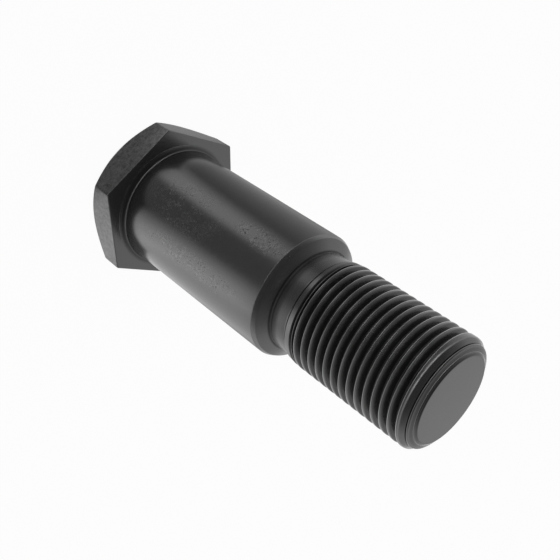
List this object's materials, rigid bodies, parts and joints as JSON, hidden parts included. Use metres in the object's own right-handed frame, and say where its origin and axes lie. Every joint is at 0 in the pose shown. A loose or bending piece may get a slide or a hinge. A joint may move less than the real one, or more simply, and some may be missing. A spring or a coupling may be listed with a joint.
{
  "type": "track shoe bolt",
  "caption": "Shouldered hexagon bolt that clamps a track shoe to its link: thin chamfered head, thick plain shank, narrow neck and fine right-hand thread.",
  "frame": {"origin": "centre of the head's outer face, which is the lowest face of the bolt", "axes": "+Z along the bolt's axis from the head to the threaded tip, +X through a corner of the hexagon"},
  "size_m": [0.0404, 0.0352, 0.0918],
  "materials": {
    "black_oxide_steel": "black oxide over turned and forged steel, satin"
  },
  "bodies": {
    "root": {"shoe_bolt": "black_oxide_steel"}
  },
  "joints": []
}
